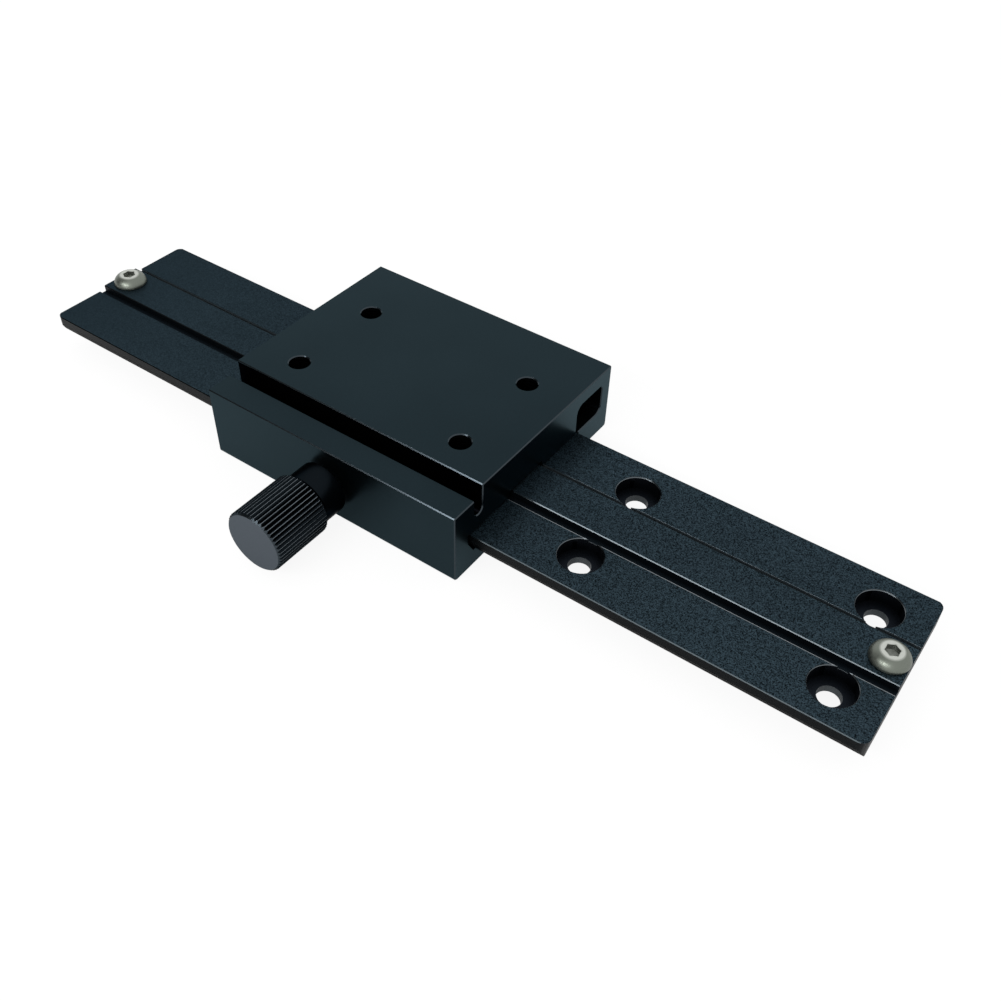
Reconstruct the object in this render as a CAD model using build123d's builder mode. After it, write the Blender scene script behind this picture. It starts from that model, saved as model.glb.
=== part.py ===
"""Lift bracket: a flat dovetail rail, a one-piece slide that wraps it, and the thumbscrew that clamps it.

Millimetres. X runs along the rail, Y across it (the thumbscrew stands out towards -Y), Z out of its top face.
The origin is the centre of the rail's four mounting holes, on its flat mounting face.
"""
from build123d import *
import os
from math import hypot, radians, sin, tan

os.makedirs("parts", exist_ok=True)

# Rail: an extruded bar with thin dovetail wings and a low ridge down its middle
RAIL_LENGTH = 200.0
RAIL_WIDTH = 38.0
WING_THICKNESS = 4.5
EDGE_LAND = 2.0
FLANK_DEGREES = 60.0
RIDGE_WIDTH = 9.7
RIDGE_HEIGHT = 0.9
RELIEF_WIDTH = 1.5
RELIEF_DEPTH = 0.6
RAIL_EDGE_BREAK = 0.15
RAIL_END_BREAK = 0.1
RAIL_CORNER = 1.8

# Mounting holes in the rail: flat-bottomed recesses for M4 button heads, all near one end
MOUNT_SPACING_X = 51.0
MOUNT_SPACING_Y = 21.5
MOUNT_END_DISTANCE = 9.5
MOUNT_HOLE_RADIUS = 2.25
RECESS_RADIUS = 4.5
RECESS_DEPTH = 3.0

# End stops: M4 button head screws in the ridge, their heads level with the rail's ends
STOP_HEAD_RADIUS = 3.8
STOP_HEAD_HEIGHT = 2.2
STOP_HEAD_EDGE = 0.35
STOP_HEAD_FOOT_BREAK = 0.1
STOP_DOME_RADIUS = 2.6
STOP_DOME_FLAT_RADIUS = 1.9
STOP_THREAD_RADIUS = 2.0
STOP_THREAD_LENGTH = 5.0
STOP_POINT_BREAK = 0.3
STOP_SOCKET_FLATS = 2.5
STOP_SOCKET_DEPTH = 1.3
STOP_HOLE_CLEARANCE = 0.05

# Slide: one extruded length, with a plate on top, a box-shaped hook behind and a deep jaw in front
SLIDE_LENGTH = 63.5
SLIDE_CENTRE_X = -77.0
PLATE_THICKNESS = 8.8
JAW_STEP = 2.35
JAW_WALL = 4.35
JAW_TOP_THICKNESS = 6.25
JAW_FOOT = 4.2
JAW_LIP_REACH = 4.9
GROOVE_WIDTH = 2.5
GROOVE_DEPTH = 4.35
HOOK_WIDTH = 11.85
HOOK_FOOT = 1.2
HOOK_LIP_REACH = 3.2
BOX_WIDTH = 9.7
BOX_WALL = 3.15
BOX_ROOF = 3.3
BOX_FLOOR_DROP = 0.1
BOX_CORNER = 2.0
BOX_BACK_CORNER = 1.0
SLIDE_EDGE_BREAK = 0.2
SLIDE_FOOT_ROUND = 0.8
SLIDE_END_BREAK = 0.2

# Play between slide and rail
SIDE_CLEARANCE = 0.4
RIDING_CLEARANCE = 0.1
UNDER_CLEARANCE = 0.3
RIDGE_CLEARANCE = 0.5

# Tapped holes in the plate, M5, drawn at the thread's mean diameter
PLATE_SPACING_X = 42.0
PLATE_SPACING_Y = 23.0
PLATE_ROW_INSET = 7.25
PLATE_HOLE_RADIUS = 2.25
HOLE_MOUTH_BREAK = 0.2

# Thumbscrew: a knurled aluminium head with a plain neck, on an M5 steel stud that bears on a loose brass pad
SCREW_DROP = 0.6
STUD_RADIUS = 2.5
STUD_RUNNING_CLEARANCE = 0.06
STUD_SEAT_CLEARANCE = 0.05
STUD_SEAT_DEPTH = 10.95
STUD_END_BREAK = 0.4
KNOB_RADIUS = 6.75
KNOB_LENGTH = 14.0
KNOB_FRONT_BREAK = 0.45
KNOB_BACK_BREAK = 0.9
KNURL_COUNT = 48
KNURL_DEPTH = 0.36
NECK_RADIUS = 5.75
NECK_LENGTH = 5.55
NECK_GAP = 1.3
PAD_LENGTH = 2.05
PAD_SIDE_CLEARANCE = 0.08
PAD_FACE_GAP = 0.15
PAD_END_BREAK = 0.2

# Rail levels and places
HALF_WIDTH = RAIL_WIDTH / 2
RIDGE_TOP = WING_THICKNESS + RIDGE_HEIGHT
RELIEF_FLOOR = WING_THICKNESS - RELIEF_DEPTH
RIDGE_SIDE = RIDGE_WIDTH / 2
RELIEF_SIDE = RIDGE_SIDE + RELIEF_WIDTH
FLANK_TOP = WING_THICKNESS - EDGE_LAND
FLANK_SLOPE = tan(radians(FLANK_DEGREES))
RAIL_END = MOUNT_SPACING_X / 2 + MOUNT_END_DISTANCE
RAIL_START = RAIL_END - RAIL_LENGTH

# Slide levels and places
CHANNEL_SIDE = HALF_WIDTH + SIDE_CLEARANCE
CHANNEL_TOP = WING_THICKNESS + RIDING_CLEARANCE
LIP_TOP = -UNDER_CLEARANCE
LIP_CORNER = CHANNEL_SIDE - (FLANK_TOP - LIP_TOP) / FLANK_SLOPE
RIDGE_SLOT_SIDE = RIDGE_SIDE + RIDGE_CLEARANCE
RIDGE_SLOT_TOP = RIDGE_TOP + RIDGE_CLEARANCE
PLATE_TOP = RIDGE_SLOT_TOP + PLATE_THICKNESS
JAW_TOP = PLATE_TOP - JAW_STEP
JAW_FRONT = -CHANNEL_SIDE - JAW_WALL
JAW_BACK = JAW_FRONT + JAW_TOP_THICKNESS
JAW_BOTTOM = LIP_TOP - JAW_FOOT
JAW_LIP_END = JAW_LIP_REACH - HALF_WIDTH
GROOVE_BOTTOM = JAW_TOP - GROOVE_DEPTH
GROOVE_ROUND_TOP = GROOVE_BOTTOM + GROOVE_WIDTH / 2
PLATE_FRONT = JAW_BACK + GROOVE_WIDTH
HOOK_BACK = CHANNEL_SIDE + HOOK_WIDTH
HOOK_BOTTOM = LIP_TOP - HOOK_FOOT
HOOK_LIP_END = HALF_WIDTH - HOOK_LIP_REACH
BOX_BACK = HOOK_BACK - BOX_WALL
BOX_FRONT = BOX_BACK - BOX_WIDTH
BOX_TOP = PLATE_TOP - BOX_ROOF
BOX_FLOOR = WING_THICKNESS - BOX_FLOOR_DROP

# Thumbscrew places along its axis
SCREW_HEIGHT = WING_THICKNESS - SCREW_DROP
PAD_FACE = -HALF_WIDTH - PAD_FACE_GAP
STUD_TIP = PAD_FACE - PAD_LENGTH
NECK_BACK = JAW_FRONT - NECK_GAP
KNOB_BACK = NECK_BACK - NECK_LENGTH
KNOB_FRONT = KNOB_BACK - KNOB_LENGTH
STUD_REAR = NECK_BACK - STUD_SEAT_DEPTH

# Corners nearer to each other than this are one corner
SAME_PLACE = 0.01


def corners_at(section, *places):
    """Finds the corners of a cross section, drawn on the YZ plane, at these (Y, Z) places."""
    found = section.vertices().filter_by(
        lambda corner: any(hypot(corner.X - y, corner.Y - z) < SAME_PLACE for y, z in places)
    )
    if len(found) != len(places):
        raise ValueError(f"{len(found)} corners found at {places}")
    return found


def break_mouth(radius):
    """Cuts a small chamfer round the mouth of a hole of this radius, at each current location."""
    Cone(
        radius,
        radius + HOLE_MOUTH_BREAK,
        HOLE_MOUTH_BREAK,
        align=(Align.CENTER, Align.CENTER, Align.MAX),
        mode=Mode.SUBTRACT,
    )


# Guide rail: half its section mirrored, extruded, its four corners rounded off, then drilled
with BuildPart() as rail:
    with BuildSketch(Plane.YZ.offset(RAIL_START)) as rail_section:
        with BuildLine():
            half_outline = Polyline(
                (0, RIDGE_TOP),
                (RIDGE_SIDE, RIDGE_TOP),
                (RIDGE_SIDE, RELIEF_FLOOR),
                (RELIEF_SIDE, RELIEF_FLOOR),
                (RELIEF_SIDE, WING_THICKNESS),
                (HALF_WIDTH, WING_THICKNESS),
                (HALF_WIDTH, FLANK_TOP),
                (HALF_WIDTH - FLANK_TOP / FLANK_SLOPE, 0),
                (0, 0),
            )
            mirror(half_outline, about=Plane.YZ)
        make_face()
        for side in (-1, 1):
            ridge_edge = (side * RIDGE_SIDE, RIDGE_TOP)
            relief_edge = (side * RELIEF_SIDE, WING_THICKNESS)
            wing_edge = (side * HALF_WIDTH, WING_THICKNESS)
            flank_edge = (side * HALF_WIDTH, FLANK_TOP)
            chamfer(corners_at(rail_section, ridge_edge, wing_edge), RAIL_EDGE_BREAK)
            fillet(corners_at(rail_section, relief_edge, flank_edge), RAIL_EDGE_BREAK)
    extrude(amount=RAIL_LENGTH)
    chamfer(rail.faces().filter_by(Axis.X).edges(), RAIL_END_BREAK)
    with BuildSketch():
        with Locations(((RAIL_START + RAIL_END) / 2, 0)):
            RectangleRounded(RAIL_LENGTH, RAIL_WIDTH, RAIL_CORNER)
    extrude(amount=RIDGE_TOP, mode=Mode.INTERSECT)
    with Locations(Plane.XY.offset(WING_THICKNESS)):
        with GridLocations(MOUNT_SPACING_X, MOUNT_SPACING_Y, 2, 2):
            CounterBoreHole(MOUNT_HOLE_RADIUS, RECESS_RADIUS, RECESS_DEPTH)
            break_mouth(RECESS_RADIUS)
    with Locations(Plane.XY.offset(RIDGE_TOP)):
        with Locations((RAIL_START + STOP_HEAD_RADIUS, 0), (RAIL_END - STOP_HEAD_RADIUS, 0)):
            Hole(STOP_THREAD_RADIUS + STOP_HOLE_CLEARANCE)
rail.part.label = "guide_rail"
export_step(rail.part, "parts/guide_rail.step")

# Slide body: the channel, lips, groove and open box are one section, extruded, then drilled
with BuildPart() as slide:
    with BuildSketch(Plane.YZ.offset(SLIDE_CENTRE_X - SLIDE_LENGTH / 2)) as slide_section:
        with BuildLine():
            Polyline(
                (JAW_BACK, GROOVE_ROUND_TOP),
                (JAW_BACK, JAW_TOP),
                (JAW_FRONT, JAW_TOP),
                (JAW_FRONT, JAW_BOTTOM),
                (JAW_LIP_END, JAW_BOTTOM),
                (JAW_LIP_END, LIP_TOP),
                (-LIP_CORNER, LIP_TOP),
                (-CHANNEL_SIDE, FLANK_TOP),
                (-CHANNEL_SIDE, CHANNEL_TOP),
                (-RIDGE_SLOT_SIDE, CHANNEL_TOP),
                (-RIDGE_SLOT_SIDE, RIDGE_SLOT_TOP),
                (RIDGE_SLOT_SIDE, RIDGE_SLOT_TOP),
                (RIDGE_SLOT_SIDE, CHANNEL_TOP),
                (BOX_FRONT, CHANNEL_TOP),
                (BOX_FRONT, BOX_TOP),
                (BOX_BACK, BOX_TOP),
                (BOX_BACK, BOX_FLOOR),
                (CHANNEL_SIDE, BOX_FLOOR),
                (CHANNEL_SIDE, FLANK_TOP),
                (LIP_CORNER, LIP_TOP),
                (HOOK_LIP_END, LIP_TOP),
                (HOOK_LIP_END, HOOK_BOTTOM),
                (HOOK_BACK, HOOK_BOTTOM),
                (HOOK_BACK, PLATE_TOP),
                (PLATE_FRONT, PLATE_TOP),
                (PLATE_FRONT, GROOVE_ROUND_TOP),
            )
            ThreePointArc(
                (JAW_BACK, GROOVE_ROUND_TOP),
                (JAW_BACK + GROOVE_WIDTH / 2, GROOVE_BOTTOM),
                (PLATE_FRONT, GROOVE_ROUND_TOP),
            )
        make_face()
        fillet(corners_at(slide_section, (BOX_FRONT, BOX_TOP), (BOX_BACK, BOX_FLOOR)), BOX_CORNER)
        fillet(corners_at(slide_section, (BOX_BACK, BOX_TOP)), BOX_BACK_CORNER)
        fillet(corners_at(slide_section, (JAW_FRONT, JAW_BOTTOM), (HOOK_BACK, HOOK_BOTTOM)), SLIDE_FOOT_ROUND)
        fillet(corners_at(slide_section, (HOOK_BACK, PLATE_TOP)), SLIDE_EDGE_BREAK)
        jaw_edges = corners_at(slide_section, (JAW_FRONT, JAW_TOP), (JAW_BACK, JAW_TOP))
        chamfer(jaw_edges, SLIDE_EDGE_BREAK)
        chamfer(corners_at(slide_section, (PLATE_FRONT, PLATE_TOP)), SLIDE_EDGE_BREAK)
    extrude(amount=SLIDE_LENGTH)
    chamfer(slide.faces().filter_by(Axis.X).edges(), SLIDE_END_BREAK)
    with Locations(Plane.XY.offset(PLATE_TOP)):
        with Locations((SLIDE_CENTRE_X, PLATE_FRONT + PLATE_ROW_INSET + PLATE_SPACING_Y / 2)):
            with GridLocations(PLATE_SPACING_X, PLATE_SPACING_Y, 2, 2):
                Hole(PLATE_HOLE_RADIUS, depth=PLATE_TOP - FLANK_TOP)
                break_mouth(PLATE_HOLE_RADIUS)
    with Locations(Plane((SLIDE_CENTRE_X, JAW_FRONT, SCREW_HEIGHT), z_dir=(0, -1, 0))):
        Hole(STUD_RADIUS + STUD_RUNNING_CLEARANCE, depth=JAW_WALL + SIDE_CLEARANCE)
slide.part.label = "slide_body"
export_step(slide.part, "parts/slide_body.step")

# Stud: M5, held in the knob, its tip against the pad
with BuildPart() as stud:
    with Locations(Plane((SLIDE_CENTRE_X, STUD_REAR, SCREW_HEIGHT), z_dir=(0, 1, 0))):
        Cylinder(STUD_RADIUS, STUD_TIP - STUD_REAR, align=(Align.CENTER, Align.CENTER, Align.MIN))
    chamfer(stud.edges().filter_by(GeomType.CIRCLE), STUD_END_BREAK)
stud.part.label = "thumbscrew_stud"
export_step(stud.part, "parts/thumbscrew_stud.step")

# Knob: turned head and neck in one piece with a blind bore for the stud, then straight-knurled
with BuildPart() as knob:
    with BuildSketch(Plane((SLIDE_CENTRE_X, 0, SCREW_HEIGHT), x_dir=(1, 0, 0), z_dir=(0, 0, 1))):
        with BuildLine():
            Polyline(
                (0, KNOB_FRONT),
                (KNOB_RADIUS - KNOB_FRONT_BREAK, KNOB_FRONT),
                (KNOB_RADIUS, KNOB_FRONT + KNOB_FRONT_BREAK),
                (KNOB_RADIUS, KNOB_BACK - KNOB_BACK_BREAK),
                (KNOB_RADIUS - KNOB_BACK_BREAK, KNOB_BACK),
                (NECK_RADIUS, KNOB_BACK),
                (NECK_RADIUS, NECK_BACK - HOLE_MOUTH_BREAK),
                (NECK_RADIUS - HOLE_MOUTH_BREAK, NECK_BACK),
                (STUD_RADIUS + STUD_SEAT_CLEARANCE, NECK_BACK),
                (STUD_RADIUS + STUD_SEAT_CLEARANCE, STUD_REAR),
                (0, STUD_REAR),
                close=True,
            )
        make_face()
    revolve(axis=Axis((SLIDE_CENTRE_X, 0, SCREW_HEIGHT), (0, 1, 0)))
    with BuildSketch(Plane((SLIDE_CENTRE_X, KNOB_FRONT, SCREW_HEIGHT), z_dir=(0, 1, 0))):
        with PolarLocations(KNOB_RADIUS, KNURL_COUNT, start_angle=180 / KNURL_COUNT):
            Polygon(
                (-KNURL_DEPTH, 0),
                (KNURL_DEPTH, -2 * KNURL_DEPTH),
                (KNURL_DEPTH, 2 * KNURL_DEPTH),
            )
    extrude(amount=KNOB_LENGTH, mode=Mode.SUBTRACT)
knob.part.label = "knurled_knob"
export_step(knob.part, "parts/knurled_knob.step")

# Pad: brass, loose in the jaw's bore between the stud's tip and the rail's edge
with BuildPart() as pad:
    with Locations(Plane((SLIDE_CENTRE_X, STUD_TIP, SCREW_HEIGHT), z_dir=(0, 1, 0))):
        Cylinder(
            STUD_RADIUS + STUD_RUNNING_CLEARANCE - PAD_SIDE_CLEARANCE,
            PAD_LENGTH,
            align=(Align.CENTER, Align.CENTER, Align.MIN),
        )
    chamfer(pad.edges().filter_by(GeomType.CIRCLE), PAD_END_BREAK)
pad.part.label = "pressure_pad"
export_step(pad.part, "parts/pressure_pad.step")

# Stop screws: a domed head with a hexagon socket, its thread tapped into the ridge
for end, screw_x in (("free", RAIL_START + STOP_HEAD_RADIUS), ("mounted", RAIL_END - STOP_HEAD_RADIUS)):
    with BuildPart() as stop_screw:
        with BuildSketch(Plane((screw_x, 0, RIDGE_TOP), x_dir=(1, 0, 0), z_dir=(0, -1, 0))):
            with BuildLine():
                Polyline(
                    (STOP_DOME_FLAT_RADIUS, STOP_HEAD_HEIGHT),
                    (0, STOP_HEAD_HEIGHT),
                    (0, -STOP_THREAD_LENGTH),
                    (STOP_THREAD_RADIUS - STOP_POINT_BREAK, -STOP_THREAD_LENGTH),
                    (STOP_THREAD_RADIUS, STOP_POINT_BREAK - STOP_THREAD_LENGTH),
                    (STOP_THREAD_RADIUS, 0),
                    (STOP_HEAD_RADIUS - STOP_HEAD_FOOT_BREAK, 0),
                    (STOP_HEAD_RADIUS, STOP_HEAD_FOOT_BREAK),
                    (STOP_HEAD_RADIUS, STOP_HEAD_EDGE),
                )
                RadiusArc(
                    (STOP_HEAD_RADIUS, STOP_HEAD_EDGE),
                    (STOP_DOME_FLAT_RADIUS, STOP_HEAD_HEIGHT),
                    -STOP_DOME_RADIUS,
                )
            make_face()
        revolve(axis=Axis((screw_x, 0, 0), (0, 0, 1)))
        with BuildSketch(Plane((screw_x, 0, RIDGE_TOP + STOP_HEAD_HEIGHT))):
            RegularPolygon(STOP_SOCKET_FLATS / 2 / sin(radians(60)), 6)
        extrude(amount=-STOP_SOCKET_DEPTH, mode=Mode.SUBTRACT)
    stop_screw.part.label = f"stop_screw_{end}_end"
    export_step(stop_screw.part, f"parts/stop_screw_{end}_end.step")
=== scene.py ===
"""Lift bracket: the finish and fine detail of each piece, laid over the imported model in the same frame.

Metres. X runs along the rail, Y across it (the thumbscrew stands out towards -Y), Z out of its top face.
"""

from math import atan2, cos, pi, radians, sin

import bmesh
import bpy
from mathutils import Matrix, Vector


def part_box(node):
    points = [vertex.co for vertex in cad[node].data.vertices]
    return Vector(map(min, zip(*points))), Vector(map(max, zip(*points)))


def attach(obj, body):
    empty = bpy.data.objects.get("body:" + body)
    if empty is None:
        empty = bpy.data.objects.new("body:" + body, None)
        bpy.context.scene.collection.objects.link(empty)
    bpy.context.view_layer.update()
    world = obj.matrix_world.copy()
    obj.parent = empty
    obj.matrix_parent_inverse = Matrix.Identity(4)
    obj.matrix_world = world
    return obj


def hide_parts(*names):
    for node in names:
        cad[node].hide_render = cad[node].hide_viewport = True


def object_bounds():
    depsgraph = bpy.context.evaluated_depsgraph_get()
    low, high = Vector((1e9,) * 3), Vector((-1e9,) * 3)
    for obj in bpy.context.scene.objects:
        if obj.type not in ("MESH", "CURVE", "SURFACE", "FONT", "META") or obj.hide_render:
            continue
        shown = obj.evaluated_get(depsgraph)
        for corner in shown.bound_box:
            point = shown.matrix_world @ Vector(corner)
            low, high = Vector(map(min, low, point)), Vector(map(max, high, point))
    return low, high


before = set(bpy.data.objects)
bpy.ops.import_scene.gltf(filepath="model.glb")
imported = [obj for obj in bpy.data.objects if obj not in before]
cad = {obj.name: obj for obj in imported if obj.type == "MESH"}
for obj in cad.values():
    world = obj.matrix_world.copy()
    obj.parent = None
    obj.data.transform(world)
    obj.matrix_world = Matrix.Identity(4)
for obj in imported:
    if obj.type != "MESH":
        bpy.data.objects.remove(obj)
cad_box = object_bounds()


# Guide rail
# A bar of extruded aluminium, blasted with fine grit and then anodised black, so its skin glitters faintly.
# Its edges are broken after blasting, so they are smoother than the faces and catch the lamp as thin lines.
MM = 0.001
rail_low, rail_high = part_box("guide_rail")
FREE_END = rail_low.x
RIDGE_TOP = rail_high.z
# Just beyond the slide's near end at rest
SLIDE_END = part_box("slide_body")[1].x + 0.25 * MM
RIDGE_SIDE = 4.85 * MM
RELIEF_SIDE = 6.35 * MM
WALL_SKIN = 0.02 * MM
FAR_RIM = 0.03 * MM
NEAR_RIM = 0.24 * MM
RIDGE_RIM = 0.2 * MM
OUTER_EDGES = -RELIEF_SIDE - 1 * MM
# Each radius is a little larger than the cut, so that it takes in its wall
BOLT_HOLE = (25.5 * MM, 10.75 * MM, 0)
BOLT_HOLE_RADIUS = 2.3 * MM
RECESS_RADIUS = 4.51 * MM
RECESS_RIM_RADIUS = 4.6 * MM
# The grit's pits are about 0.1 mm wide, and are drawn twice as coarse so that they show
RAIL_GRIT = 0.22 * MM
RAIL_GRIT_DEPTH = 0.02 * MM
RAIL_GLITTER = 0.9
FREE_END_GLITTER = RAIL_GLITTER / 4
RAIL_ROUGHNESS = 0.45
EDGE_ROUGHNESS = 0.2
# The oxide skin mirrors this much of the light at a glancing view
GLANCING = "#b3b3b3"
NEAR_RELIEF_ROUGHNESS = 0.5
FAR_RELIEF_ROUGHNESS = 1.0
DYE_PATCH = 30 * MM
DYE_DRIFT = 0.08
# Most of a noise's values lie within this of a half
PATCH_SPREAD = 0.2
FACET_SPREAD = 0.12
# Directions of faces: how far they look along an axis, from 0 to 1
BROKEN_EDGE_LEAN = 0.78
SIDE_LEAN = 0.3
UNDERSIDE_LEAN = -0.1
FRONT_LEAN = -0.3
END_LEAN = 0.5
# Further off than any place or direction
FAR = 2.0


def srgb(code):
    """The linear colour of an sRGB hex value."""
    parts = [int(code[i : i + 2], 16) / 255 for i in (1, 3, 5)]
    return (*[v / 12.92 if v <= 0.04045 else ((v + 0.055) / 1.055) ** 2.4 for v in parts], 1.0)


def add_node(tree, kind, inputs=None, **settings):
    """Adds a node with its settings. An input given as another node's output is linked to it."""
    node = tree.nodes.new(kind)
    for name, value in settings.items():
        setattr(node, name, value)
    for name, value in (inputs or {}).items():
        if isinstance(value, bpy.types.NodeSocket):
            tree.links.new(value, node.inputs[name])
        else:
            node.inputs[name].default_value = value
    return node


def new_material(name):
    """An empty material with its output, ready for a shader."""
    material = bpy.data.materials.new(name)
    material.use_nodes = True
    material.node_tree.nodes.clear()
    return material, material.node_tree, add_node(material.node_tree, "ShaderNodeOutputMaterial")


def region(tree, *limits):
    """1 where every value lies between its own two limits, and otherwise 0."""
    inside = 1.0
    for value, low, high in limits:
        held = add_node(
            tree, "ShaderNodeMath", {0: value, 1: (low + high) / 2, 2: (high - low) / 2}, operation="COMPARE"
        )
        both = add_node(tree, "ShaderNodeMath", {0: held.outputs["Value"], 1: inside}, operation="MULTIPLY")
        inside = both.outputs["Value"]
    return inside


def toned(tree, colour, *tones):
    """A colour with others laid over it in turn, each where its share is 1."""
    for share, tone in tones:
        layer = add_node(
            tree, "ShaderNodeMix", {"Factor": share, "A": colour, "B": srgb(tone)}, data_type="RGBA"
        )
        colour = layer.outputs["Result"]
    return colour


def steepness(tree, place):
    """How far a face looks along X, Y and Z, either way round."""
    steep = add_node(tree, "ShaderNodeVectorMath", {0: place.outputs["Normal"]}, operation="ABSOLUTE")
    return add_node(tree, "ShaderNodeSeparateXYZ", {"Vector": steep.outputs["Vector"]}).outputs


def broken_edge(steep):
    """The limits that hold on a broken edge, which looks between two flat faces."""
    return [(steep[axis], -FAR, BROKEN_EDGE_LEAN) for axis in "XYZ"]


def off_axis(tree, point, centre, across):
    """How far a point is from an axis through the centre, measured along the directions that cross it."""
    offset = add_node(tree, "ShaderNodeVectorMath", {0: point, 1: centre}, operation="SUBTRACT")
    flat = add_node(
        tree, "ShaderNodeVectorMath", {0: offset.outputs["Vector"], 1: across}, operation="MULTIPLY"
    )
    reach = add_node(tree, "ShaderNodeVectorMath", {0: flat.outputs["Vector"]}, operation="LENGTH")
    return reach.outputs["Value"]


def anodised_skin(tree, place, on_edge, dye, edge, roughness, grit, grit_depth, glitter):
    """Colour, roughness and normal of an oxide skin dyed black, smooth on its broken edges."""
    grain = add_node(
        tree,
        "ShaderNodeTexNoise",
        {"Vector": place.outputs["Object"], "Scale": 1 / grit, "Detail": 2.0, "Roughness": 0.7},
    )
    patches = add_node(
        tree,
        "ShaderNodeTexNoise",
        {"Vector": place.outputs["Object"], "Scale": 1 / DYE_PATCH, "Detail": 2.0},
    )
    shade = add_node(
        tree,
        "ShaderNodeMapRange",
        {
            "Value": patches.outputs["Fac"],
            "From Min": 0.5 - PATCH_SPREAD,
            "From Max": 0.5 + PATCH_SPREAD,
            "To Min": 1 - DYE_DRIFT,
            "To Max": 1 + DYE_DRIFT,
        },
    )
    # Painted glints: the dye is made brighter and darker in specks, standing in for grit facets that lean
    # towards the eye or away from it
    facets = add_node(
        tree,
        "ShaderNodeMapRange",
        {
            "Value": grain.outputs["Fac"],
            "From Min": 0.5 - FACET_SPREAD,
            "From Max": 0.5 + FACET_SPREAD,
            "To Min": -1.0,
            "To Max": 1.0,
        },
    )
    shine = add_node(
        tree, "ShaderNodeMath", {0: facets.outputs["Result"], 1: glitter, 2: 1.0}, operation="MULTIPLY_ADD"
    )
    strength = add_node(
        tree, "ShaderNodeMath", {0: shade.outputs["Result"], 1: shine.outputs["Value"]}, operation="MULTIPLY"
    )
    skin = add_node(
        tree,
        "ShaderNodeVectorMath",
        {0: srgb(dye)[:3], "Scale": strength.outputs["Value"]},
        operation="SCALE",
    )
    colour = toned(tree, skin.outputs["Vector"], (on_edge, edge))
    polish = add_node(
        tree, "ShaderNodeMapRange", {"Value": on_edge, "To Min": roughness, "To Max": EDGE_ROUGHNESS}
    )
    on_flat = add_node(tree, "ShaderNodeMath", {0: 1.0, 1: on_edge}, operation="SUBTRACT")
    bump = add_node(
        tree,
        "ShaderNodeBump",
        {"Height": grain.outputs["Fac"], "Distance": grit_depth, "Strength": on_flat.outputs["Value"]},
    )
    return colour, polish.outputs["Result"], bump.outputs["Normal"]


def dyed_metal(tree, output, colour, roughness, normal, glancing=srgb(GLANCING)):
    """The shader under an anodised skin: metallic, and darker at a glancing view than bare metal."""
    shader = add_node(
        tree,
        "ShaderNodeBsdfPrincipled",
        {
            "Base Color": colour,
            "Metallic": 1.0,
            "Roughness": roughness,
            "Specular Tint": glancing,
            "Normal": normal,
        },
    )
    tree.links.new(shader.outputs["BSDF"], output.inputs["Surface"])


def dress(piece, *materials):
    """Gives a piece these materials, the first one all over."""
    piece.data.materials.clear()
    for material in materials:
        piece.data.materials.append(material)


# Blasted black anodised aluminium: a dark blue-black skin with a fine glitter
blasted_black, tree, output = new_material("blasted_black_anodised_aluminium")
place = add_node(tree, "ShaderNodeTexCoord")
at = add_node(tree, "ShaderNodeSeparateXYZ", {"Vector": place.outputs["Object"]}).outputs
facing = add_node(tree, "ShaderNodeSeparateXYZ", {"Vector": place.outputs["Normal"]}).outputs
steep = steepness(tree, place)
# The painted glints fade towards the free end
glitter = add_node(
    tree,
    "ShaderNodeMapRange",
    {
        "Value": at["X"],
        "From Min": FREE_END,
        "From Max": SLIDE_END,
        "To Min": FREE_END_GLITTER,
        "To Max": RAIL_GLITTER,
    },
)
front_edges = region(tree, *broken_edge(steep), (facing["Y"], -FAR, FRONT_LEAN))
colour, roughness, normal = anodised_skin(
    tree,
    place,
    front_edges,
    dye="#28343b",
    edge="#3c4144",
    roughness=RAIL_ROUGHNESS,
    grit=RAIL_GRIT,
    grit_depth=RAIL_GRIT_DEPTH,
    glitter=glitter.outputs["Result"],
)
# Painted shade darkens the outer front edges, so the lamp's line along them is dimmer
shaded_outer_edges = region(
    tree, *broken_edge(steep), (facing["Y"], -FAR, FRONT_LEAN), (at["Y"], -FAR, OUTER_EDGES)
)
# The narrow sides are drawn through the die and only brushed by the grit, so they shine when looked along
sides = region(tree, (steep["Z"], -FAR, SIDE_LEAN), (facing["Z"], UNDERSIDE_LEAN, FAR))
# Painted shade darkens the faces that look downwards
shaded_underside = region(tree, (facing["Z"], -FAR, UNDERSIDE_LEAN))
# The reliefs beside the ridge are cut smooth. Painted shade darkens the near one, painted light pales the far
# one, and a painted highlight runs along the near one's rim beyond the slide
shaded_near_relief = region(
    tree, (at["Y"], -RELIEF_SIDE - WALL_SKIN, WALL_SKIN - RIDGE_SIDE), (at["Z"], -FAR, RIDGE_TOP - RIDGE_RIM)
)
lit_far_relief = region(
    tree, (at["Y"], RIDGE_SIDE + WALL_SKIN, RELIEF_SIDE + FAR_RIM), (steep["X"], -FAR, END_LEAN)
)
rim_highlight = region(
    tree, (at["Y"], -RELIEF_SIDE - NEAR_RIM, -RELIEF_SIDE - WALL_SKIN), (at["X"], SLIDE_END, FAR)
)
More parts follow.
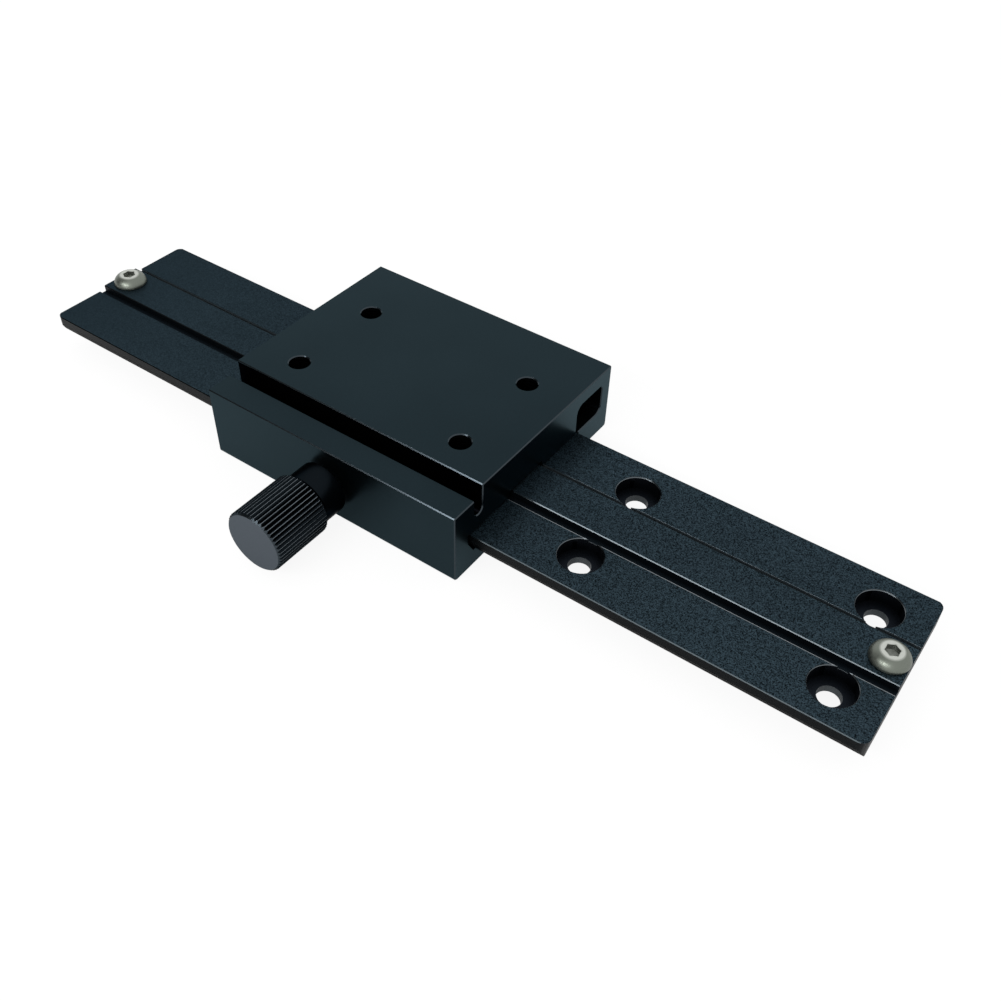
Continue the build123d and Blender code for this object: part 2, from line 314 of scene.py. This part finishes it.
# A painted highlight pales each recess's rim, and painted shade darkens the recesses, which mirror only their
# own dark walls. The bolt holes were drilled after anodising, and are bare
folded = add_node(tree, "ShaderNodeVectorMath", {0: place.outputs["Object"]}, operation="ABSOLUTE")
from_hole = off_axis(tree, folded.outputs["Vector"], BOLT_HOLE, (1, 1, 0))
colour = toned(
    tree,
    colour,
    (shaded_outer_edges, "#1f2325"),
    (sides, "#0f1214"),
    (shaded_underside, "#0c0e10"),
    (shaded_near_relief, "#1b2228"),
    (lit_far_relief, "#4e585e"),
    (rim_highlight, "#8d9397"),
    (region(tree, (from_hole, -FAR, RECESS_RIM_RADIUS)), "#666d71"),
    (region(tree, (from_hole, -FAR, RECESS_RADIUS)), "#1c2026"),
    (region(tree, (from_hole, -FAR, BOLT_HOLE_RADIUS)), "#565b5e"),
)
for relief, least in ((shaded_near_relief, NEAR_RELIEF_ROUGHNESS), (lit_far_relief, FAR_RELIEF_ROUGHNESS)):
    dull = add_node(tree, "ShaderNodeMath", {0: relief, 1: least}, operation="MULTIPLY")
    rougher = add_node(tree, "ShaderNodeMath", {0: roughness, 1: dull.outputs["Value"]}, operation="MAXIMUM")
    roughness = rougher.outputs["Value"]
dyed_metal(tree, output, colour, roughness, normal, toned(tree, srgb(GLANCING), (sides, "#ffffff")))
dress(cad["guide_rail"], blasted_black)


# Stop screws
# M4 button head screws of stainless steel, screwed down into the ridge at each end of the rail.
# The head is cold headed, which leaves a dull punched socket, and barrel polished.
M4_PITCH = 0.7 * MM
SOCKET_FLATS = 2.5 * MM
SOCKET_DEPTH = 1.3 * MM
SOCKET_POINT = 0.3125 * MM
SOCKET_MOUTH = 1.62 * MM
SOCKET_SINK = 0.1 * MM
SOCKET_REACH = 1.5 * MM
DOME_FLAT = 1.9 * MM
DOME_RADIUS = 2.6 * MM
DOME_STEPS = 10
HEAD_EDGE = 0.35 * MM
HEAD_FOOT_BREAK = 0.1 * MM
SHANK_RADIUS = 2.0 * MM
SHANK_IN_HEAD = 0.2 * MM
TURNED_STEPS = 48
SAME_PLACE = 1e-6
# A metric thread's shares of its pitch: its depth, and half its width at the crest and at the foot
THREAD_DEPTH = 0.54
CREST_HALF = 1 / 16
FOOT_HALF = 7 / 16
THREAD_STEPS = 24
BURIED = 0.01 * MM
SCUFF_SIZE = 0.35 * MM
SCUFF_SPREAD = 0.15
SCUFF_ROUGHNESS = 0.06
HIGHLIGHT_LEAN = (0.9, 0.98)


def start_edit(piece):
    """Opens one piece, alone, in edit mode."""
    bpy.ops.object.select_all(action="DESELECT")
    bpy.context.view_layer.objects.active = piece
    piece.select_set(True)
    bpy.ops.object.mode_set(mode="EDIT")


def pick(piece, test):
    """Selects the piece's vertices whose places pass the test."""
    bpy.ops.mesh.select_mode(type="VERT")
    mesh = bmesh.from_edit_mesh(piece.data)
    for vertex in mesh.verts:
        vertex.select = test(vertex.co)
    mesh.select_flush_mode()
    bmesh.update_edit_mesh(piece.data)


def finish_edit(piece, smooth_below=35):
    """Merges what lies in one place, turns the faces outwards and leaves edit mode."""
    bpy.ops.mesh.select_all(action="SELECT")
    bpy.ops.mesh.remove_doubles(threshold=SAME_PLACE)
    bpy.ops.mesh.normals_make_consistent(inside=False)
    bpy.ops.object.mode_set(mode="OBJECT")
    bpy.ops.object.shade_smooth_by_angle(angle=radians(smooth_below))


def draw_line(name, centre, points):
    """A line of edges through points given from a centre, drawn from one corner onwards."""
    bpy.ops.object.select_all(action="DESELECT")
    bpy.ops.mesh.primitive_plane_add(size=MM, location=centre)
    piece = bpy.context.object
    piece.name = name
    start_edit(piece)
    bpy.ops.mesh.merge(type="CENTER")
    bpy.ops.transform.translate(value=points[0])
    for here, there in zip(points, points[1:]):
        bpy.ops.mesh.extrude_vertices_move(TRANSFORM_OT_translate={"value": Vector(there) - Vector(here)})
    return piece


def apply_modifier(piece, kind, **settings):
    """Adds a modifier with its settings to the piece, and applies it."""
    bpy.ops.object.select_all(action="DESELECT")
    bpy.context.view_layer.objects.active = piece
    piece.select_set(True)
    bpy.ops.object.modifier_add(type=kind)
    modifier = piece.modifiers[-1]
    for name, value in settings.items():
        setattr(modifier, name, value)
    bpy.ops.object.modifier_apply(modifier=modifier.name)


def turn(name, centre, points, steps=TURNED_STEPS):
    """A turned piece: its outline, drawn from the axis out and back to it, spun round Z as on a lathe."""
    piece = draw_line(name, centre, [(radius, 0, height) for radius, height in points])
    bpy.ops.mesh.select_all(action="SELECT")
    bpy.ops.mesh.spin(steps=steps, angle=2 * pi, center=centre, axis=(0, 0, 1))
    finish_edit(piece)
    return piece


def wound_ridge(name, centre, foot, crest, pitch, turns):
    """A thread's ridge, wound up Z round a centre: a closed section screwed round, with its ends filled."""
    section = [
        (foot, 0, -FOOT_HALF * pitch),
        (crest, 0, -CREST_HALF * pitch),
        (crest, 0, CREST_HALF * pitch),
        (foot, 0, FOOT_HALF * pitch),
    ]
    ridge = draw_line(name, centre, [*section, section[0]])
    bpy.ops.mesh.select_all(action="SELECT")
    bpy.ops.mesh.remove_doubles(threshold=SAME_PLACE)
    bpy.ops.object.mode_set(mode="OBJECT")
    apply_modifier(
        ridge,
        "SCREW",
        axis="Z",
        angle=2 * pi,
        screw_offset=pitch,
        iterations=turns,
        steps=THREAD_STEPS,
        render_steps=THREAD_STEPS,
    )
    start_edit(ridge)
    bpy.ops.mesh.select_all(action="SELECT")
    bpy.ops.mesh.remove_doubles(threshold=SAME_PLACE)
    bpy.ops.mesh.fill_holes(sides=len(section))
    finish_edit(ridge)
    return ridge


def join(piece, other):
    """Takes another object's mesh into the piece."""
    bpy.ops.object.select_all(action="DESELECT")
    other.select_set(True)
    piece.select_set(True)
    bpy.context.view_layer.objects.active = piece
    bpy.ops.object.join()


def threaded_rod(name, centre, crest, pitch, length):
    """A rod up Z from a centre: a turned core with its thread's ridge wound round it, just sunk in."""
    root = crest - THREAD_DEPTH * pitch
    bevel = pitch / 2
    outline = [
        (0, 0),
        (root - bevel, 0),
        (root, bevel),
        (root, length - bevel),
        (root - bevel, length),
        (0, length),
    ]
    rod = turn(name, centre, outline)
    turns = int((length - 2 * bevel) / pitch)
    first = Vector(centre) + Vector((0, 0, (length - turns * pitch) / 2))
    join(rod, wound_ridge(name + "_ridge", first, root - BURIED, crest, pitch, turns))
    return rod


def seat(piece):
    """Puts the finished piece's place into its mesh, so that its object sits at the origin."""
    bpy.ops.object.select_all(action="DESELECT")
    bpy.context.view_layer.objects.active = piece
    piece.select_set(True)
    bpy.ops.object.transform_apply(location=True, rotation=True, scale=True)


def polished_metal(name, colour, roughness, scuff_depth, painted_highlight=None):
    """Bright metal with fine scuffs, which softly break what it mirrors.

    A painted highlight colour, if given, is laid on its upward faces.
    """
    material, tree, output = new_material(name)
    place = add_node(tree, "ShaderNodeTexCoord")
    scuffs = add_node(
        tree,
        "ShaderNodeTexNoise",
        {"Vector": place.outputs["Object"], "Scale": 1 / SCUFF_SIZE, "Detail": 3.0},
    )
    dulled = add_node(
        tree,
        "ShaderNodeMapRange",
        {
            "Value": scuffs.outputs["Fac"],
            "From Min": 0.5 - SCUFF_SPREAD,
            "From Max": 0.5 + SCUFF_SPREAD,
            "To Min": roughness - SCUFF_ROUGHNESS,
            "To Max": roughness + SCUFF_ROUGHNESS,
        },
    )
    bump = add_node(
        tree, "ShaderNodeBump", {"Height": scuffs.outputs["Fac"], "Distance": scuff_depth, "Strength": 1.0}
    )
    colour = srgb(colour)
    if painted_highlight:
        facing = add_node(tree, "ShaderNodeSeparateXYZ", {"Vector": place.outputs["Normal"]})
        level = add_node(
            tree,
            "ShaderNodeMapRange",
            {"Value": facing.outputs["Z"], "From Min": HIGHLIGHT_LEAN[0], "From Max": HIGHLIGHT_LEAN[1]},
        )
        colour = toned(tree, colour, (level.outputs["Result"], painted_highlight))
    shader = add_node(
        tree,
        "ShaderNodeBsdfPrincipled",
        {
            "Base Color": colour,
            "Metallic": 1.0,
            "Roughness": dulled.outputs["Result"],
            "Normal": bump.outputs["Normal"],
        },
    )
    tree.links.new(shader.outputs["BSDF"], output.inputs["Surface"])
    return material


# Barrel polished stainless steel: a soft warm grey shine, with a painted highlight on the flat round the
# socket and other upward faces
stainless = polished_metal(
    "barrel_polished_stainless_steel", "#767b73", roughness=0.4, scuff_depth=0.006 * MM, painted_highlight="#c2c5bf"
)
# Punched stainless steel: dull walls that mirror each other, so the socket looks dark
punched = polished_metal("dull_punched_stainless_steel", "#8f928d", roughness=0.35, scuff_depth=0.01 * MM)


def button_head_screw(end):
    """The head is turned round a flat top. A hexagon is bridged into that top and sunk to make the socket."""
    low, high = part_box("stop_screw_" + end)
    centre = Vector(((low.x + high.x) / 2, (low.y + high.y) / 2, RIDGE_TOP))
    head_radius = (high.x - low.x) / 2
    head_height = high.z - RIDGE_TOP
    # The dome is an arc from the head's edge to the flat ring round the socket
    edge = Vector((head_radius, HEAD_EDGE))
    flat = Vector((DOME_FLAT, head_height))
    chord = flat - edge
    rise = (DOME_RADIUS**2 - (chord.length / 2) ** 2) ** 0.5
    pivot = (edge + flat) / 2 + Vector((-chord.y, chord.x)).normalized() * rise
    first = atan2(edge.y - pivot.y, edge.x - pivot.x)
    last = atan2(flat.y - pivot.y, flat.x - pivot.x)
    angles = [first + (last - first) * i / DOME_STEPS for i in range(DOME_STEPS + 1)]
    dome = [(pivot.x + DOME_RADIUS * cos(a), pivot.y + DOME_RADIUS * sin(a)) for a in angles]
    foot = [(0, 0), (head_radius - HEAD_FOOT_BREAK, 0), (head_radius, HEAD_FOOT_BREAK)]
    screw = turn("button_head_" + end, centre, [*foot, *dome, (SOCKET_MOUTH, head_height)])

    # The hexagon has as many corners as the ring round it, so that the two can be bridged
    sunk = head_height - SOCKET_SINK
    just_below = sunk - SOCKET_SINK / 2
    start_edit(screw)
    bpy.ops.mesh.select_all(action="DESELECT")
    bpy.ops.mesh.primitive_circle_add(
        vertices=6, radius=SOCKET_FLATS / 2 / cos(pi / 6), location=centre + Vector((0, 0, sunk))
    )
    bpy.ops.mesh.subdivide(number_cuts=TURNED_STEPS // 6 - 1)
    pick(screw, lambda at: at.z > just_below and at.xy.length < SOCKET_MOUTH + SAME_PLACE)
    bpy.ops.mesh.bridge_edge_loops()
    pick(screw, lambda at: abs(at.z - sunk) < SAME_PLACE and at.xy.length < SOCKET_MOUTH - SAME_PLACE)
    bpy.ops.mesh.extrude_region_move(TRANSFORM_OT_translate={"value": (0, 0, SOCKET_SINK - SOCKET_DEPTH)})
    bpy.ops.mesh.extrude_region_move(TRANSFORM_OT_translate={"value": (0, 0, -SOCKET_POINT)})
    bpy.ops.mesh.merge(type="CENTER")
    finish_edit(screw)

    # The punched socket is duller than the polished head. Its faces lie above the head's foot
    dress(screw, stainless, punched)
    for face in screw.data.polygons:
        if head_height / 3 < face.center.z < just_below and face.center.xy.length < SOCKET_REACH:
            face.material_index = 1

    shank_foot = (centre.x, centre.y, low.z)
    shank_length = RIDGE_TOP + SHANK_IN_HEAD - low.z
    shank = threaded_rod("screw_shank_" + end, shank_foot, SHANK_RADIUS, M4_PITCH, shank_length)
    dress(shank, stainless)
    join(screw, shank)
    seat(screw)
    return screw


for end in ("free_end", "mounted_end"):
    screw = button_head_screw(end)
    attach(screw, "rail")
    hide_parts("stop_screw_" + end)


# Slide body
# One length of extruded aluminium, etched satin and anodised black, so it is smoother than the rail.
# Its deep saw-cut groove sees little of the room and carries painted shade, and its four plate holes are
# tapped M5.
GROOVE_FRONT = -17.6 * MM
GROOVE_BACK = -14.9 * MM
GROOVE_LIP = 14.4 * MM
SATIN_ROUGHNESS = 0.3
SATIN_GRAIN = 0.25 * MM
SATIN_GRAIN_DEPTH = 0.001 * MM
SATIN_GLITTER = 0.05
M5_PITCH = 0.8 * MM
TAPPED_RADIUS = 2.25 * MM
TAPPED_CREST = 2.16 * MM
TAPPED_TOP = 14.4 * MM
TAPPED_LENGTH = 9.7 * MM
PLATE_HOLES = [(x * MM, y * MM) for x in (-98.0, -56.0) for y in (-7.75, 15.25)]


def satin_skin(tree, place, on_edge, dye):
    """Colour, roughness and normal of the slide's finish, which was etched almost smooth."""
    return anodised_skin(
        tree,
        place,
        on_edge,
        dye,
        edge="#3a4146",
        roughness=SATIN_ROUGHNESS,
        grit=SATIN_GRAIN,
        grit_depth=SATIN_GRAIN_DEPTH,
        glitter=SATIN_GLITTER,
    )


# Satin black anodised aluminium: an even blue-black with a soft sheen
satin_black, tree, output = new_material("satin_black_anodised_aluminium")
place = add_node(tree, "ShaderNodeTexCoord")
at = add_node(tree, "ShaderNodeSeparateXYZ", {"Vector": place.outputs["Object"]}).outputs
steep = steepness(tree, place)
colour, roughness, normal = satin_skin(tree, place, region(tree, *broken_edge(steep)), "#1f2a2f")
# Painted shade darkens the deep groove
shaded_groove = region(
    tree, (at["Y"], GROOVE_FRONT, GROOVE_BACK), (at["Z"], -FAR, GROOVE_LIP), (steep["X"], -FAR, END_LEAN)
)
colour = toned(tree, colour, (shaded_groove, "#121318"))
# Etching left it smooth enough to shine when looked along, except in the groove, where painted shade takes
# that shine out
dyed_metal(tree, output, colour, roughness, normal, toned(tree, srgb("#d8e5ea"), (shaded_groove, "#595959")))
dress(cad["slide_body"], satin_black)

# Tapped black anodised aluminium: a darker dye as painted shade, since the thread flanks shade each other
tapped_black, tree, output = new_material("tapped_black_anodised_aluminium")
dyed_metal(tree, output, *satin_skin(tree, add_node(tree, "ShaderNodeTexCoord"), 0.0, "#121517"))

x, y = PLATE_HOLES[0]
first_thread = wound_ridge(
    "tapped_thread_1",
    (x, y, TAPPED_TOP - TAPPED_LENGTH),
    TAPPED_RADIUS + BURIED,
    TAPPED_CREST,
    M5_PITCH,
    int(TAPPED_LENGTH / M5_PITCH),
)
threads = [first_thread]
for number, (x, y) in enumerate(PLATE_HOLES[1:], 2):
    thread = first_thread.copy()
    thread.data = first_thread.data.copy()
    thread.name = f"tapped_thread_{number}"
    thread.location = (x, y, first_thread.location.z)
    bpy.context.scene.collection.objects.link(thread)
    threads.append(thread)
for thread in threads:
    seat(thread)
    dress(thread, tapped_black)
    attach(thread, "slide")


# Pressure pad
# A slip of brass rod, loose in the jaw's bore, that keeps the screw from marking the rail.
# It was parted off on a lathe, so it has a warm yellow shine with fine marks.
brass = polished_metal("turned_brass", "#c9a05c", roughness=0.28, scuff_depth=0.004 * MM)
dress(cad["pressure_pad"], brass)


# Thumbscrew stud
# M5 studding of zinc plated steel, cut to length and glued into the knob's bore.
# A turn or two of its thread shows in the gap between the knob's neck and the jaw, as a cool bright glint.
zinc = polished_metal("bright_zinc_plated_steel", "#a9acab", roughness=0.32, scuff_depth=0.005 * MM)
stud_low, stud_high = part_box("thumbscrew_stud")
SCREW_X = (stud_low.x + stud_high.x) / 2
SCREW_Z = (stud_low.z + stud_high.z) / 2


def lay_along_y(piece, foot):
    """Turns a piece made upright at the origin to point along Y, with its foot at this place."""
    piece.location = (SCREW_X, foot, SCREW_Z)
    piece.rotation_euler = (-pi / 2, 0, 0)
    seat(piece)


stud = threaded_rod(
    "threaded_stud", (0, 0, 0), (stud_high.x - stud_low.x) / 2, M5_PITCH, stud_high.y - stud_low.y
)
lay_along_y(stud, stud_low.y)
dress(stud, zinc)
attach(stud, "thumbscrew")
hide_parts("thumbscrew_stud")


# Knob
# Turned from aluminium bar in one piece with its neck, straight-knurled, then anodised black.
# Its flat end was faced off with a fine feed, so it is paler and duller than the knurled side.
KNURL_COUNT = 48
KNURL_DEPTHS = [depth * MM for depth in (0.36, 0.25, 0.13, 0.03, 0.0, 0.03, 0.13, 0.25, 0.36)]
KNOB_LENGTH = 14.0 * MM
FRONT_RADIUS = 6.3 * MM
BACK_RADIUS = 5.85 * MM
NECK_RADIUS = 5.75 * MM
NECK_BREAK = 0.2 * MM
BORE_RADIUS = 2.55 * MM
BORE_DEPTH = 10.95 * MM
CLEAR = 0.1 * MM
KNOB_STEPS = 96
KNOB_SMOOTH_BELOW = 40
CREST_HIGHLIGHT_DEPTH = 0.015 * MM
CHAMFER_LEAN = (0.5, 0.9)
# The facing tool's feed is 0.12 mm a turn, and is drawn three times as coarse so that it shows
FEED = 0.36 * MM
FEED_DEPTH = 0.002 * MM
FACED_ROUGHNESS = 0.38
FACED_LEAN = 0.99
# A ring pattern of scale 1 has a ring every pi / 10 metres
RING_UNIT = pi / 10


def knurled_bar(name, radius, length):
    """A straight-knurled bar up Z: one ridge's outline, copied round in a ring, drawn out and closed."""
    step = 2 * pi / KNURL_COUNT / (len(KNURL_DEPTHS) - 1)
    half = len(KNURL_DEPTHS) // 2
    ridge = [
        ((radius - depth) * cos((i - half) * step), (radius - depth) * sin((i - half) * step), 0)
        for i, depth in enumerate(KNURL_DEPTHS)
    ]
    bar = draw_line(name, (0, 0, -CLEAR), ridge)
    bpy.ops.mesh.select_all(action="SELECT")
    bpy.ops.mesh.spin(steps=KNURL_COUNT, dupli=True, angle=2 * pi, center=(0, 0, 0), axis=(0, 0, 1))
    bpy.ops.mesh.select_all(action="SELECT")
    bpy.ops.mesh.remove_doubles(threshold=SAME_PLACE)
    bpy.ops.mesh.extrude_region_move(TRANSFORM_OT_translate={"value": (0, 0, length + 2 * CLEAR)})
    pick(bar, lambda at: at.z > length)
    bpy.ops.mesh.edge_face_add()
    pick(bar, lambda at: at.z < SAME_PLACE)
    bpy.ops.mesh.edge_face_add()
    finish_edit(bar)
    return bar


knob_low, knob_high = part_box("knurled_knob")
whole_length = knob_high.y - knob_low.y
knob_radius = (knob_high.x - knob_low.x) / 2
past_crest = knob_radius + CLEAR
knob = knurled_bar("knurled_head", knob_radius, whole_length)
blank = turn(
    "knob_blank",
    (0, 0, 0),
    [
        (0, 0),
        (FRONT_RADIUS, 0),
        (past_crest, past_crest - FRONT_RADIUS),
        (past_crest, KNOB_LENGTH - past_crest + BACK_RADIUS),
        (BACK_RADIUS, KNOB_LENGTH),
        (NECK_RADIUS, KNOB_LENGTH),
        (NECK_RADIUS, whole_length - NECK_BREAK),
        (NECK_RADIUS - NECK_BREAK, whole_length),
        (BORE_RADIUS, whole_length),
        (BORE_RADIUS, whole_length - BORE_DEPTH),
        (0, whole_length - BORE_DEPTH - BORE_RADIUS / 2),
    ],
    KNOB_STEPS,
)
apply_modifier(knob, "BOOLEAN", operation="INTERSECT", solver="EXACT", object=blank)
bpy.data.objects.remove(blank)
start_edit(knob)
finish_edit(knob, KNOB_SMOOTH_BELOW)

# Knurled black anodised aluminium: dark flutes between crests, which carry a painted highlight
knurled_black, tree, output = new_material("knurled_black_anodised_aluminium")
place = add_node(tree, "ShaderNodeTexCoord")
on_chamfer = region(tree, (steepness(tree, place)["Y"], *CHAMFER_LEAN))
colour, roughness, normal = satin_skin(tree, place, on_chamfer, "#13181c")
reach = off_axis(tree, place.outputs["Object"], (SCREW_X, 0, SCREW_Z), (1, 0, 1))
# A painted highlight along the crests of the knurl
painted_highlight = add_node(
    tree,
    "ShaderNodeMapRange",
    {"Value": reach, "From Min": knob_radius - CREST_HIGHLIGHT_DEPTH, "From Max": knob_radius},
)
colour = toned(tree, colour, (painted_highlight.outputs["Result"], "#8b959c"))
dyed_metal(tree, output, colour, roughness, normal)

# Faced black anodised aluminium: a paler, duller grey with the faint rings of the tool
faced_black, tree, output = new_material("faced_black_anodised_aluminium")
place = add_node(tree, "ShaderNodeTexCoord")
centred = add_node(
    tree, "ShaderNodeMapping", {"Vector": place.outputs["Object"], "Location": (-SCREW_X, 0, -SCREW_Z)}
)
rings = add_node(
    tree,
    "ShaderNodeTexWave",
    {"Vector": centred.outputs["Vector"], "Scale": RING_UNIT / FEED, "Distortion": 0.6},
    wave_type="RINGS",
    rings_direction="Y",
)
tool_marks = add_node(
    tree, "ShaderNodeBump", {"Height": rings.outputs["Fac"], "Distance": FEED_DEPTH, "Strength": 1.0}
)
dyed_metal(tree, output, srgb("#5e656c"), FACED_ROUGHNESS, tool_marks.outputs["Normal"])

dress(knob, knurled_black, faced_black)
for face in knob.data.polygons:
    if face.center.z < NECK_BREAK and abs(face.normal.z) > FACED_LEAN:
        face.material_index = 1
lay_along_y(knob, knob_low.y)
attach(knob, "thumbscrew")
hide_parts("knurled_knob")


# Floor
# A white table top under the jaw's foot. It shows as plain white, and keeps a pale shadow.
# Metals mirror the table close by, where they shade it themselves, so they see it less bright.
TABLE_SIZE = 6.0
TABLE_GLOW = 0.9
MIRRORED_SHARE = 0.5
MIRRORED_GLOW = 0.65

# White paper, dull and even
white_table, tree, output = new_material("white_table")
ray = add_node(tree, "ShaderNodeLightPath")
seen = add_node(
    tree, "ShaderNodeMath", {0: ray.outputs["Is Camera Ray"], 1: TABLE_GLOW}, operation="MULTIPLY"
)
share = add_node(
    tree,
    "ShaderNodeMath",
    {0: ray.outputs["Is Glossy Ray"], 1: MIRRORED_SHARE, 2: seen.outputs["Value"]},
    operation="MULTIPLY_ADD",
)
strength = add_node(
    tree,
    "ShaderNodeMapRange",
    {"Value": ray.outputs["Is Glossy Ray"], "To Min": 1.0, "To Max": MIRRORED_GLOW},
)
paper = add_node(tree, "ShaderNodeBsdfDiffuse", {"Color": srgb("#ffffff")})
glow = add_node(
    tree, "ShaderNodeEmission", {"Color": srgb("#ffffff"), "Strength": strength.outputs["Result"]}
)
top = add_node(
    tree,
    "ShaderNodeMixShader",
    {0: share.outputs["Value"], 1: paper.outputs["BSDF"], 2: glow.outputs["Emission"]},
)
tree.links.new(top.outputs["Shader"], output.inputs["Surface"])

bpy.ops.object.select_all(action="DESELECT")
bpy.ops.mesh.primitive_plane_add(size=TABLE_SIZE, location=(0, 0, cad_box[0].z))
floor = bpy.context.object
floor.name = "floor"
dress(floor, white_table)


# Light
# A pale room all round, dimmer towards one corner behind the camera, and a long soft lamp over the front.
ROOM_LIGHT = 1.0
DIM_CORNER = (-0.634, -0.605, 0.481)
DIM_CORNER_STRENGTH = 0.1
DIM_CORNER_INNER = radians(20)
DIM_CORNER_OUTER = radians(50)
LAMP_LENGTH = 0.6
LAMP_HEIGHT = 0.12
LAMP_WATTS = 3.0
LAMP_AIM = Vector((-0.03, 0, 0))
LAMP_PLACE = LAMP_AIM + Vector((-0.096, -0.624, 0.48))

world = bpy.data.worlds.new("pale_room")
bpy.context.scene.world = world
world.use_nodes = True
tree = world.node_tree
tree.nodes.clear()
direction = add_node(tree, "ShaderNodeTexCoord")
towards = add_node(
    tree, "ShaderNodeVectorMath", {0: direction.outputs["Generated"], 1: DIM_CORNER}, operation="DOT_PRODUCT"
)
mirrored_room = add_node(
    tree,
    "ShaderNodeMapRange",
    {
        "Value": towards.outputs["Value"],
        "From Min": cos(DIM_CORNER_OUTER),
        "From Max": cos(DIM_CORNER_INNER),
        "To Min": 1.0,
        "To Max": DIM_CORNER_STRENGTH,
    },
)
# Gloss and glass see the mirrored room, matt faces see even light, and the camera sees white
ray = add_node(tree, "ShaderNodeLightPath")
mirrored = add_node(
    tree,
    "ShaderNodeMath",
    {0: ray.outputs["Is Glossy Ray"], 1: ray.outputs["Is Transmission Ray"]},
    operation="MAXIMUM",
)
room = add_node(
    tree,
    "ShaderNodeMix",
    {"Factor": mirrored.outputs["Value"], "A": ROOM_LIGHT, "B": mirrored_room.outputs["Result"]},
)
strength = add_node(
    tree, "ShaderNodeMix", {"Factor": ray.outputs["Is Camera Ray"], "A": room.outputs["Result"], "B": 1.0}
)
sky = add_node(
    tree, "ShaderNodeBackground", {"Color": srgb("#ffffff"), "Strength": strength.outputs["Result"]}
)
output = add_node(tree, "ShaderNodeOutputWorld")
tree.links.new(sky.outputs["Background"], output.inputs["Surface"])

lamp_data = bpy.data.lights.new("front_lamp", "AREA")
lamp_data.shape = "RECTANGLE"
lamp_data.size = LAMP_LENGTH
lamp_data.size_y = LAMP_HEIGHT
lamp_data.energy = LAMP_WATTS
lamp = bpy.data.objects.new("front_lamp", lamp_data)
bpy.context.scene.collection.objects.link(lamp)
lamp.location = LAMP_PLACE
lamp.rotation_euler = (LAMP_AIM - LAMP_PLACE).to_track_quat("-Z", "Y").to_euler()


# Viewpoint
# Above the rail's screw-down end, looking down along the slide from the thumbscrew's side.
camera_data = bpy.data.cameras.new("viewpoint")
camera_data.sensor_width = 36.0
camera_data.lens = 39.911
camera_data.shift_x = -0.0207
camera_data.shift_y = -0.0037
camera_data.clip_start = 0.005
camera = bpy.data.objects.new("viewpoint", camera_data)
bpy.context.scene.collection.objects.link(camera)
camera.location = (42.507 * MM, -138.287 * MM, 155.736 * MM)
camera.rotation_euler = (radians(46.425), radians(-2.114), radians(34.717))
bpy.context.scene.camera = camera
bpy.context.scene.view_settings.view_transform = "Standard"
